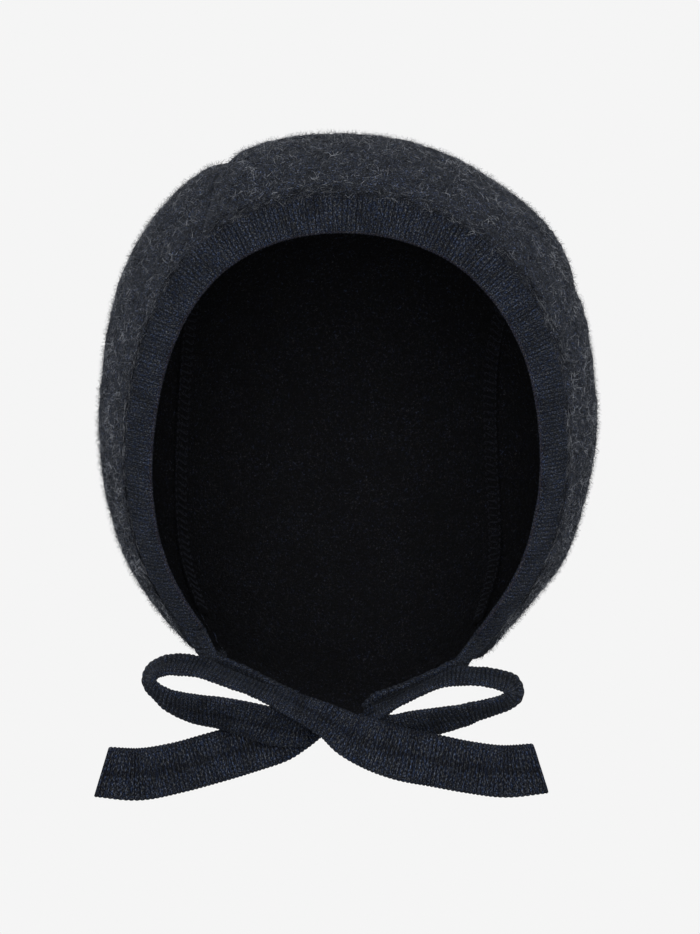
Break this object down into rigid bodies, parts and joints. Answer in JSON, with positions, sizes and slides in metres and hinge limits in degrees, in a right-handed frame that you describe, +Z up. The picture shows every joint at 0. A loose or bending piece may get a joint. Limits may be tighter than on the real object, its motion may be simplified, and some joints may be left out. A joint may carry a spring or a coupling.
{
  "type": "baby bonnet",
  "caption": "Close-fitting baby bonnet of dark brushed wool with a ribbed band round the face and ribbed ties in a bow under the chin.",
  "frame": {"origin": "inside of the crown at its top, where the top of the wearer's head sits", "axes": "+Z up, the face opening looks towards -Y, +X is on the right seen from the front"},
  "size_m": [0.1454, 0.1433, 0.1915],
  "materials": {
    "brushed_wool": "brushed, melange of charcoal and navy",
    "ribbed_wool": "fine rib, dark navy melange"
  },
  "bodies": {
    "root": {"crown_panel": "brushed_wool", "side_panel_left": "brushed_wool", "side_panel_right": "brushed_wool", "face_band": "ribbed_wool", "seam_left": "brushed_wool", "seam_right": "brushed_wool", "tie_left": "ribbed_wool", "tie_right": "ribbed_wool", "bow_front": "ribbed_wool", "tail_left": "ribbed_wool", "loop_right": "ribbed_wool", "bow_knot": "ribbed_wool"}
  },
  "joints": []
}
